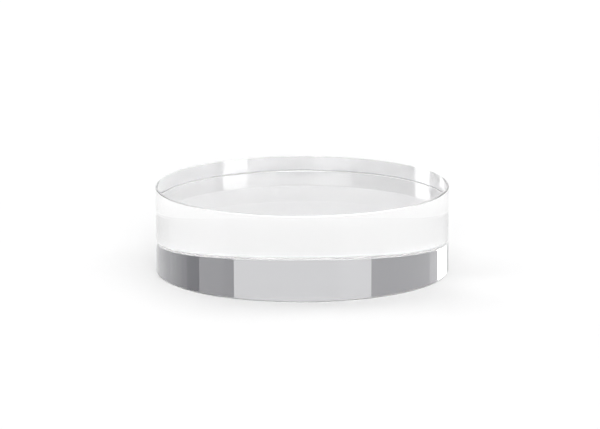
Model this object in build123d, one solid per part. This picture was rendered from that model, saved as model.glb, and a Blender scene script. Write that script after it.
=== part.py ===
from build123d import *
import os

# Round display block: one solid disc of clear cast acrylic. Both faces and the wall are polished, and the
# edge at each end of the wall is eased by a small radius. It has no feet, no inserts and no moving parts: a
# model or other small object stands on the top face, and the base face rests on a table.
#
# Frame: millimetres, +Z up, origin at the centre of the base face, Z along the disc's axis.

# Driving dimensions
BLOCK_DIAMETER = 100.0  # across the wall
BLOCK_THICKNESS = 29.4  # from the base face to the top face: 30 mm cast sheet, which is sold a little under
TOP_EDGE_RADIUS = 0.25  # between the wall and the top face
BASE_EDGE_RADIUS = 0.6  # between the wall and the base face


def round_edge(disc, end):
    """The round edge at one end of the wall: 0 is the base end, -1 is the top end."""
    return disc.edges().filter_by(GeomType.CIRCLE).sort_by(Axis.Z)[end]


def display_block():
    """The whole object: an upright disc standing on Z = 0, with both of its round edges eased."""
    disc = Cylinder(
        radius=BLOCK_DIAMETER / 2,
        height=BLOCK_THICKNESS,
        align=(Align.CENTER, Align.CENTER, Align.MIN),
    )
    disc = fillet(round_edge(disc, 0), BASE_EDGE_RADIUS)
    return fillet(round_edge(disc, -1), TOP_EDGE_RADIUS)


# Every separate piece of the object, by the name of its node
PIECES = {"display_block": display_block}


def main():
    os.makedirs("parts", exist_ok=True)
    for node, make in PIECES.items():
        export_step(make(), os.path.join("parts", f"{node}.step"))


main()
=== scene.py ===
"""Round clear acrylic display block, as a Blender add-on that is run as a script.

The block is one solid disc of cast acrylic. Its faces and its wall are polished, and the small radius on each
of its edges keeps a scraped, satin finish. Its overall sizes come from the frame. The stage is a pale table,
soft panels and boxes round it, a dome beyond them and the camera.
"""

import math

import bmesh
import bpy
from bpy.props import FloatProperty, FloatVectorProperty, IntProperty, PointerProperty
from mathutils import Matrix, Vector


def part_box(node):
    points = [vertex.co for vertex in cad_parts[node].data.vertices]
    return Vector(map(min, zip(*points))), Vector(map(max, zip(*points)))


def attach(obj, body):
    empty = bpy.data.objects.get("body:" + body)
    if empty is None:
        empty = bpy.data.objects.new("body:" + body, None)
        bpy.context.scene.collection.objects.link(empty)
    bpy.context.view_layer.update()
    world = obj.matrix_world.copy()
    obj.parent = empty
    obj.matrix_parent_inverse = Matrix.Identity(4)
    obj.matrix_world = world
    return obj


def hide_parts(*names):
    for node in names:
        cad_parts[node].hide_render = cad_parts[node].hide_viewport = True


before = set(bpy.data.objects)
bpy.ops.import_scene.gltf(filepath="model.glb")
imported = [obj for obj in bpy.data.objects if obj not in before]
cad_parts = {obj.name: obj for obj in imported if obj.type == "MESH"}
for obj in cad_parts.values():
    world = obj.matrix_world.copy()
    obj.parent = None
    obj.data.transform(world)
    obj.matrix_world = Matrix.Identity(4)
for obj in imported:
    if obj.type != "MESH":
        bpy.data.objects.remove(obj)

bl_info = {
    "name": "Round acrylic display block",
    "version": (1, 0, 0),
    "blender": (4, 5, 0),
    "location": "View3D > Sidebar > Display Block",
    "description": "Makes a solid clear acrylic display disc and the studio it stands in",
    "category": "Object",
}

NODE = "display_block"
BODY = "root"

LOWEST, HIGHEST = (Vector(corner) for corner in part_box(NODE))
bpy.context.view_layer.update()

# Outline of the disc, in metres. The margins are rings beside each edge that keep the shading of the faces
# and the wall flat up to it.
EDGE_SEGMENTS = 12
FACE_MARGIN = 0.0015
WALL_MARGIN = 0.0004
MERGE_DISTANCE = 1e-7

# Acrylic. Each finish has the least and the most roughness, and the stretch of the haze pattern that goes
# from one to the other.
ACRYLIC_IOR = 1.49
POLISHED = (0, 0.03)
POLISHED_HAZE = (0.45, 0.75)
SATIN = (0.65, 0.85)
SATIN_HAZE = (0.3, 0.7)
EDGE_BLEND = 0.15  # share of an edge's radius over which the polish turns to satin
HAZE_SCALE = 140
HAZE_DETAIL = 6
WAVE_SCALE = 35
WAVE_DETAIL = 2
WAVE_HEIGHT = 0.000008

# Table top
FLOOR_RADIUS = 1.9
FLOOR_STEPS = 128
FLOOR_GAP = 0.00002  # below the base face, so that the two never share a plane
GRAIN_SCALE = 900
GRAIN_DETAIL = 2
GRAIN_SHADE = 0.01
GRAIN_HEIGHT = 0.00002

# Studio. Angles are in degrees: an azimuth goes from +Y towards +X, an elevation from the table upwards.
STUDIO_RADIUS = 2.2
WALL_FOOT = 3
WALL_HEAD = 18
UPRIGHT_BELOW = 20.5  # panels with a lower head stand upright, and the others lean towards the block

# name, azimuths of the two sides, elevations of the foot and the head, radiance
PANELS = (
    ("backdrop", -18.5, 18.4, WALL_FOOT, WALL_HEAD, 0.5),
    ("left_wall", -48, -18.5, WALL_FOOT, WALL_HEAD, 0.2),
    ("left_wall_end", -57, -48, WALL_FOOT, WALL_HEAD, 0.3),
    ("left_strip", -77, -57, 4, 20, 2.5),
    ("right_wall", 18.4, 32, WALL_FOOT, WALL_HEAD, 0.15),
    ("right_side", 67, 105, WALL_FOOT, WALL_HEAD, 0.2),
    ("right_box", 113, 135, 4, 20, 1.5),
    ("front_right", 135, 160, WALL_FOOT, WALL_HEAD, 0.4),
    ("front_left", 190, 220, WALL_FOOT, WALL_HEAD, 0.5),
    ("front_box", 160, 200, 18.5, 30, 8),
    ("back_low", -82, -22, 18.5, 30, 0.6),
)

# The far end of the right wall, in strips that get brighter away from the backdrop
FADE_START = 39
FADE_STRIP = 4
FADE_RADIANCES = [0.05 + 0.03 * step for step in range(7)]

# High boxes side by side, from the left round the back and the right to the front
HIGH_START = -82
HIGH_WIDTH = 45
HIGH_FOOT = 30
HIGH_HEAD = 45
HIGH_RADIANCES = (2.5, 4.5, 1.5, 2, 1.5, 3)

# The dome beyond the panels: sine of the elevation, radiance. It is faint but for a dim band behind the
# upright panels, a bright band behind the high boxes and a soft band above them.
FAINT = (0.03, 0.03, 0.03)
DIM = (0.13, 0.13, 0.143)
BRIGHT = (1.8, 1.8, 1.8)
SOFT = (0.4, 0.4, 0.4)
DOME = (
    (0, FAINT),
    (0.07, FAINT),
    (0.09, DIM),
    (0.31, DIM),
    (0.34, FAINT),
    (0.49, FAINT),
    (0.51, BRIGHT),
    (0.7, BRIGHT),
    (0.72, SOFT),
    (0.86, SOFT),
    (0.88, FAINT),
)
BACKGROUND = (1.1, 1.1, 1.1)  # what the camera sees past the table
LIGHT_BOUNCES = 32
AIM_OFFSET = Vector((-0.00079, 0, 0.00447))  # from the block's middle to the point that the camera looks at


# ---------------------------------------------------------------------------------------------- settings


class BlockSettings(bpy.types.PropertyGroup):
    """Sizes of the acrylic disc."""

    diameter: FloatProperty(
        name="Diameter", description="Across the polished wall", default=HIGHEST.x - LOWEST.x, unit="LENGTH"
    )
    thickness: FloatProperty(
        name="Thickness", description="From the base face to the top face", default=HIGHEST.z - LOWEST.z,
        unit="LENGTH",
    )
    top_round: FloatProperty(
        name="Top edge radius", description="Radius between the wall and the top face", default=0.00025,
        unit="LENGTH",
    )
    base_round: FloatProperty(
        name="Base edge radius", description="Radius between the wall and the base face", default=0.0006,
        unit="LENGTH",
    )
    steps: IntProperty(name="Steps", description="Steps of the turned outline round the axis", default=720)


class StageSettings(bpy.types.PropertyGroup):
    """The table and the camera."""

    camera_distance: FloatProperty(
        name="Camera distance", description="From the middle of the block", default=1.609, unit="LENGTH"
    )
    camera_elevation: FloatProperty(
        name="Camera elevation", description="Above the level of the block", default=math.radians(12.41),
        subtype="ANGLE",
    )
    camera_roll: FloatProperty(
        name="Camera roll", description="Turn about the line of sight", default=math.radians(0.17),
        subtype="ANGLE",
    )
    lens: FloatProperty(name="Lens", description="Focal length", default=282.5, unit="CAMERA")
    floor_colour: FloatVectorProperty(
        name="Table colour", description="Colour of the table top", default=(0.82, 0.82, 0.82),
        subtype="COLOR", size=3,
    )


# ---------------------------------------------------------------------------------------------- materials


def new_material(name):
    """A material, its nodes, its links and its shader."""
    material = bpy.data.materials.new(name)
    material.use_nodes = True
    nodes = material.node_tree.nodes
    return material, nodes, material.node_tree.links, nodes["Principled BSDF"]


def ramp(nodes, links, value, low, high, below, above):
    """A value that goes from below to above as the given one goes from low to high."""
    mapped = nodes.new("ShaderNodeMapRange")
    mapped.inputs["From Min"].default_value = low
    mapped.inputs["From Max"].default_value = high
    mapped.inputs["To Min"].default_value = below
    mapped.inputs["To Max"].default_value = above
    links.new(value, mapped.inputs["Value"])
    return mapped.outputs["Result"]


def combine(nodes, links, operation, first, second):
    """Two values put together by a Math node."""
    result = nodes.new("ShaderNodeMath")
    result.operation = operation
    links.new(first, result.inputs[0])
    links.new(second, result.inputs[1])
    return result.outputs[0]


def noise(nodes, links, place, scale, detail):
    """A cloudy pattern from 0 to 1."""
    pattern = nodes.new("ShaderNodeTexNoise")
    pattern.inputs["Scale"].default_value = scale
    pattern.inputs["Detail"].default_value = detail
    links.new(place, pattern.inputs["Vector"])
    return pattern.outputs["Fac"]


def add_bump(nodes, links, shader, height, distance):
    """Small relief on a shader, of the given greatest height in metres."""
    bump = nodes.new("ShaderNodeBump")
    bump.inputs["Distance"].default_value = distance
    links.new(height, bump.inputs["Height"])
    links.new(bump.outputs["Normal"], shader.inputs["Normal"])


def distance_from_axis(nodes, links, split):
    """Level distance of a point from the disc's axis."""
    level = nodes.new("ShaderNodeCombineXYZ")
    links.new(split.outputs["X"], level.inputs["X"])
    links.new(split.outputs["Y"], level.inputs["Y"])
    length = nodes.new("ShaderNodeVectorMath")
    length.operation = "LENGTH"
    links.new(level.outputs[0], length.inputs[0])
    return length.outputs["Value"]


def edge_mask(nodes, links, height, reach, disc_radius, edge_radius, face_z, side):
    """1 on one eased edge and 0 on the faces and the wall, with a narrow blend between them.

    The face is at face_z, and side is 1 at the base end and -1 at the top end.
    """
    inner = disc_radius - edge_radius
    across = ramp(nodes, links, reach, inner, inner + EDGE_BLEND * edge_radius, 0, 1)
    wall_end = face_z + side * edge_radius
    along = ramp(nodes, links, height, wall_end, wall_end - side * EDGE_BLEND * edge_radius, 0, 1)
    return combine(nodes, links, "MULTIPLY", across, along)


def acrylic_material(sizes):
    """Clear cast acrylic: polished faces and wall with a faint haze and waviness, and satin edges."""
    material, nodes, links, shader = new_material("clear_acrylic")
    shader.inputs["Base Color"].default_value = (1, 1, 1, 1)
    shader.inputs["IOR"].default_value = ACRYLIC_IOR
    shader.inputs["Transmission Weight"].default_value = 1
    place = nodes.new("ShaderNodeTexCoord").outputs["Object"]
    split = nodes.new("ShaderNodeSeparateXYZ")
    links.new(place, split.inputs[0])
    height = split.outputs["Z"]
    reach = distance_from_axis(nodes, links, split)
    radius = sizes.diameter / 2
    base = edge_mask(nodes, links, height, reach, radius, sizes.base_round, 0, 1)
    top = edge_mask(nodes, links, height, reach, radius, sizes.top_round, sizes.thickness, -1)
    haze = noise(nodes, links, place, HAZE_SCALE, HAZE_DETAIL)
    finish = nodes.new("ShaderNodeMix")
    links.new(combine(nodes, links, "MAXIMUM", base, top), finish.inputs["Factor"])
    links.new(ramp(nodes, links, haze, *POLISHED_HAZE, *POLISHED), finish.inputs["A"])
    links.new(ramp(nodes, links, haze, *SATIN_HAZE, *SATIN), finish.inputs["B"])
    links.new(finish.outputs["Result"], shader.inputs["Roughness"])
    add_bump(nodes, links, shader, noise(nodes, links, place, WAVE_SCALE, WAVE_DETAIL), WAVE_HEIGHT)
    return material


def floor_material(colour):
    """Matt white table top, with a fine grain in its colour and its surface."""
    material, nodes, links, shader = new_material("white_table")
    shader.inputs["Roughness"].default_value = 1
    shader.inputs["Specular IOR Level"].default_value = 0
    place = nodes.new("ShaderNodeTexCoord").outputs["Object"]
    grain = noise(nodes, links, place, GRAIN_SCALE, GRAIN_DETAIL)
    shade = nodes.new("ShaderNodeMix")
    shade.data_type = "RGBA"
    darker, lighter = (socket for socket in shade.inputs if socket.type == "RGBA")
    darker.default_value = (*(value - GRAIN_SHADE for value in colour), 1)
    lighter.default_value = (*(value + GRAIN_SHADE for value in colour), 1)
    links.new(grain, shade.inputs["Factor"])
    mixed = next(socket for socket in shade.outputs if socket.type == "RGBA")
    links.new(mixed, shader.inputs["Base Color"])
    add_bump(nodes, links, shader, grain, GRAIN_HEIGHT)
    return material


# ---------------------------------------------------------------------------------------------- the block


def add_object(name, data):
    """A new object in the scene, at the origin."""
    thing = bpy.data.objects.new(name, data)
    bpy.context.scene.collection.objects.link(thing)
    return thing


def ease_corner(bm, corner, edge_radius):
    """Round one corner of the outline."""
    bmesh.ops.bevel(
        bm, geom=[corner], offset=edge_radius, offset_type="OFFSET", affect="VERTICES",
        segments=EDGE_SEGMENTS, profile=0.5, material=-1,
    )


def turned_disc(sizes):
    """The solid disc, turned from half of its outline."""
    radius, thickness = sizes.diameter / 2, sizes.thickness
    outline = (
        (0, 0),
        (radius - FACE_MARGIN, 0),
        (radius, 0),
        (radius, sizes.base_round + WALL_MARGIN),
        (radius, thickness - sizes.top_round - WALL_MARGIN),
        (radius, thickness),
        (radius - FACE_MARGIN, thickness),
        (0, thickness),
    )
    bm = bmesh.new()
    points = [bm.verts.new((x, 0, z)) for x, z in outline]
    for pair in zip(points, points[1:]):
        bm.edges.new(pair)
    base_corner, top_corner = points[2], points[5]
    ease_corner(bm, base_corner, sizes.base_round)
    ease_corner(bm, top_corner, sizes.top_round)
    bmesh.ops.spin(
        bm, geom=bm.verts[:] + bm.edges[:], cent=(0, 0, 0), axis=(0, 0, 1), angle=math.tau, steps=sizes.steps,
        use_merge=True,
    )
    bmesh.ops.remove_doubles(bm, verts=bm.verts, dist=MERGE_DISTANCE)
    bmesh.ops.recalc_face_normals(bm, faces=bm.faces)
    for face in bm.faces:
        face.smooth = True
    mesh = bpy.data.meshes.new("acrylic_disc")
    bm.to_mesh(mesh)
    bm.free()
    return mesh


class DISPLAY_OT_block(bpy.types.Operator):
    """Make the solid acrylic disc with its eased edges"""

    bl_idname = "display.make_block"
    bl_label = "Acrylic block"

    def execute(self, context):
        sizes = context.scene.display_block
        mesh = turned_disc(sizes)
        piece = add_object("acrylic_disc", mesh)
        mesh.materials.append(acrylic_material(sizes))
        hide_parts(NODE)
        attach(piece, BODY)
        return {"FINISHED"}


# ---------------------------------------------------------------------------------------------- the stage


def direction(azimuth, elevation):
    """Unit vector from the block to a place in the studio, by angles in degrees."""
    a, e = math.radians(azimuth), math.radians(elevation)
    return Vector((math.sin(a) * math.cos(e), math.cos(a) * math.cos(e), math.sin(e)))


def add_panel(name, left, right, foot, head, radiance):
    """One evenly lit panel, which faces the block and spans the given angles as seen from it."""
    half_span = math.radians((right - left) / 2)
    if head > UPRIGHT_BELOW:
        middle = (foot + head) / 2
        outward = direction((left + right) / 2, middle)
        width = 2 * STUDIO_RADIUS * math.cos(math.radians(middle)) * math.tan(half_span)
        height = 2 * STUDIO_RADIUS * math.tan(math.radians((head - foot) / 2))
        place = outward * STUDIO_RADIUS
    else:
        outward = direction((left + right) / 2, 0)
        low, high = (STUDIO_RADIUS * math.tan(math.radians(angle)) for angle in (foot, head))
        width = 2 * STUDIO_RADIUS * math.tan(half_span)
        height = high - low
        place = outward * STUDIO_RADIUS + Vector((0, 0, (low + high) / 2))
    light = bpy.data.lights.new(name, "AREA")
    light.shape = "RECTANGLE"
    light.size = width
    light.size_y = height
    light.energy = radiance * math.pi * width * height
    panel = add_object(name, light)
    panel.matrix_world = Matrix.Translation(place) @ outward.to_track_quat("Z", "Y").to_matrix().to_4x4()
    panel.visible_camera = False


def add_row(name, start, width, foot, head, radiances):
    """Panels of one width, side by side from the start azimuth."""
    for step, radiance in enumerate(radiances):
        left = start + step * width
        add_panel(f"{name}_{step + 1}", left, left + width, foot, head, radiance)


def add_floor(colour):
    """The round table top, just under the block."""
    bm = bmesh.new()
    bmesh.ops.create_circle(bm, cap_ends=True, segments=FLOOR_STEPS, radius=FLOOR_RADIUS)
    mesh = bpy.data.meshes.new("floor")
    bm.to_mesh(mesh)
    bm.free()
    mesh.materials.append(floor_material(colour))
    floor = add_object("floor", mesh)
    floor.location.z = -FLOOR_GAP


def add_camera(settings):
    """The camera in front of the block and a little above it."""
    data = bpy.data.cameras.new("camera")
    data.lens = settings.lens
    camera = add_object("camera", data)
    middle = (LOWEST + HIGHEST) / 2
    place = middle + direction(180, math.degrees(settings.camera_elevation)) * settings.camera_distance
    facing = (middle + AIM_OFFSET - place).to_track_quat("-Z", "Y").to_matrix().to_4x4()
    roll = Matrix.Rotation(-settings.camera_roll, 4, "Z")
    camera.matrix_world = Matrix.Translation(place) @ facing @ roll
    bpy.context.scene.camera = camera


def set_world():
    """The dome, by height, and the plain background that only the camera sees."""
    world = bpy.data.worlds.new("studio")
    world.use_nodes = True
    nodes, links = world.node_tree.nodes, world.node_tree.links
    nodes.clear()
    toward = nodes.new("ShaderNodeTexCoord")
    split = nodes.new("ShaderNodeSeparateXYZ")
    links.new(toward.outputs["Generated"], split.inputs[0])
    colours = nodes.new("ShaderNodeValToRGB")
    stops = colours.color_ramp.elements
    stops.remove(stops[1])
    for height, colour in DOME:
        stop = stops.new(height) if height > 0 else stops[0]
        stop.color = (*colour, 1)
    links.new(split.outputs["Z"], colours.inputs[0])
    dome = nodes.new("ShaderNodeBackground")
    links.new(colours.outputs["Color"], dome.inputs["Color"])
    background = nodes.new("ShaderNodeBackground")
    background.inputs["Color"].default_value = (*BACKGROUND, 1)
    path = nodes.new("ShaderNodeLightPath")
    mix = nodes.new("ShaderNodeMixShader")
    out = nodes.new("ShaderNodeOutputWorld")
    links.new(path.outputs["Is Camera Ray"], mix.inputs[0])
    links.new(dome.outputs[0], mix.inputs[1])
    links.new(background.outputs[0], mix.inputs[2])
    links.new(mix.outputs[0], out.inputs["Surface"])
    bpy.context.scene.world = world


def set_light_paths(scene):
    """Set plain colours, and keep every bounce inside the block sharp and at full strength."""
    scene.view_settings.view_transform = "Standard"
    scene.cycles.use_denoising = True
    scene.cycles.max_bounces = LIGHT_BOUNCES
    scene.cycles.transmission_bounces = LIGHT_BOUNCES
    scene.cycles.glossy_bounces = LIGHT_BOUNCES
    scene.cycles.sample_clamp_indirect = 0
    scene.cycles.blur_glossy = 0


class DISPLAY_OT_stage(bpy.types.Operator):
    """Make the table, the panels, the dome and the camera"""

    bl_idname = "display.make_stage"
    bl_label = "Stage"

    def execute(self, context):
        settings = context.scene.display_stage
        add_floor(settings.floor_colour)
        for panel in PANELS:
            add_panel(*panel)
        add_row("right_wall_end", FADE_START, FADE_STRIP, WALL_FOOT, WALL_HEAD, FADE_RADIANCES)
        add_row("high_box", HIGH_START, HIGH_WIDTH, HIGH_FOOT, HIGH_HEAD, HIGH_RADIANCES)
        add_camera(settings)
        set_world()
        set_light_paths(context.scene)
        return {"FINISHED"}


# ---------------------------------------------------------------------------------------------- the add-on


class DISPLAY_PT_panel(bpy.types.Panel):
    """The sizes and the makers, in the sidebar"""

    bl_idname = "DISPLAY_PT_panel"
    bl_label = "Display block"
    bl_space_type = "VIEW_3D"
    bl_region_type = "UI"
    bl_category = "Display Block"

    def draw(self, context):
        for group in (context.scene.display_block, context.scene.display_stage):
            for name in group.__annotations__:
                self.layout.prop(group, name)
        for operator in OPERATORS:
            self.layout.operator(operator.bl_idname)


GROUPS = {"display_block": BlockSettings, "display_stage": StageSettings}
OPERATORS = (DISPLAY_OT_block, DISPLAY_OT_stage)
CLASSES = (*GROUPS.values(), *OPERATORS, DISPLAY_PT_panel)


def register():
    for cls in CLASSES:
        bpy.utils.register_class(cls)
    for name, group in GROUPS.items():
        setattr(bpy.types.Scene, name, PointerProperty(type=group))


def unregister():
    for name in GROUPS:
        delattr(bpy.types.Scene, name)
    for cls in reversed(CLASSES):
        bpy.utils.unregister_class(cls)


def main():
    register()
    bpy.ops.display.make_block()
    bpy.ops.display.make_stage()


if __name__ == "__main__":
    main()
